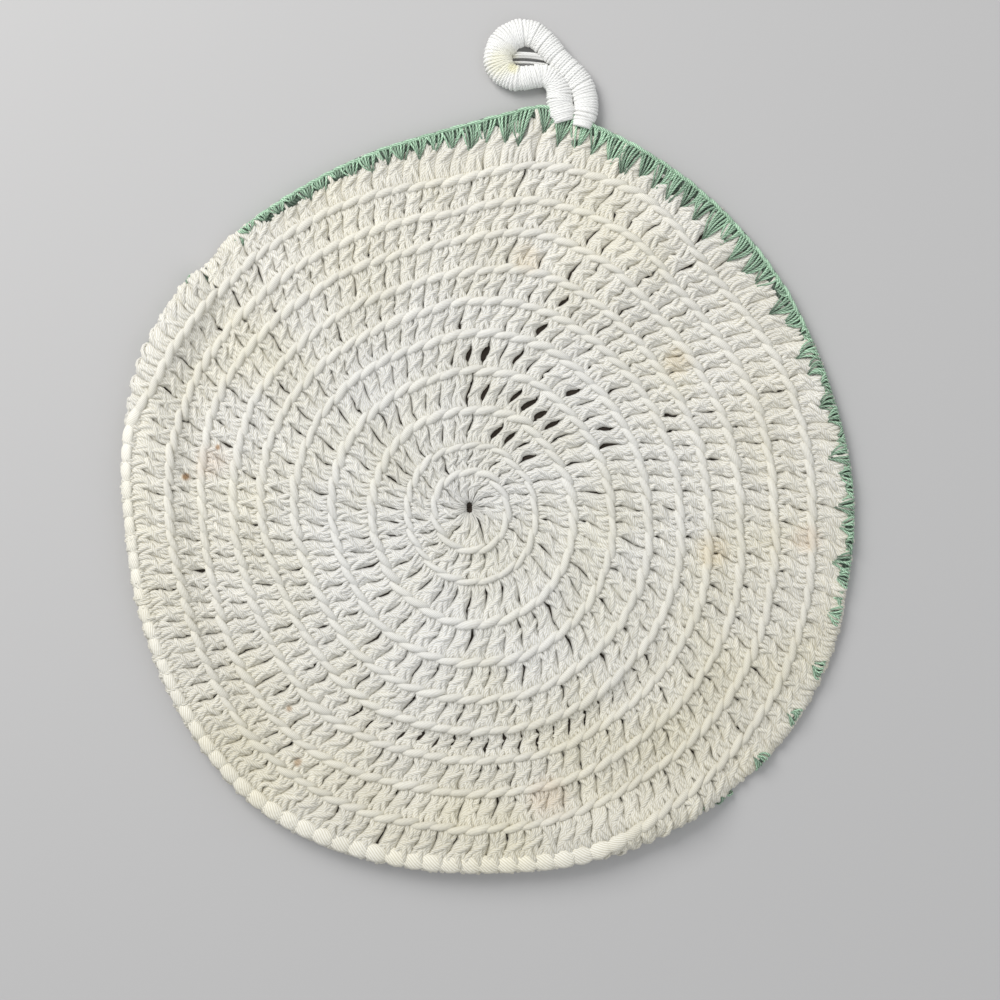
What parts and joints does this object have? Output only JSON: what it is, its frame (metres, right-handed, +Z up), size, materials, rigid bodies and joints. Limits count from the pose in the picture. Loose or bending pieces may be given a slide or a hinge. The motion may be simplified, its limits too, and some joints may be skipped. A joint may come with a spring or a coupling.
{
  "type": "crocheted pot holder",
  "caption": "Round pot holder of cream double crochet with raised chain ridges, a green crocheted edging, a rim partly rolled under and a small covered hanging loop.",
  "frame": {"origin": "middle of the first round, on the flat underside that lies on the surface", "axes": "+Z up through the cloth, +Y towards the hanging loop, +X to the right seen from above"},
  "size_m": [0.1819, 0.213, 0.0076],
  "materials": {
    "cream_cotton": "matt plied cotton yarn, slightly yellowed, with a few small brown spots",
    "green_cotton": "mercerised green cotton yarn with a slight sheen",
    "white_cotton": "whiter cotton thread, closely wound, with one yellowish patch"
  },
  "bodies": {
    "root": {"crochet_disc": "cream_cotton", "green_edging": "green_cotton", "hanging_loop": "white_cotton"}
  },
  "joints": []
}
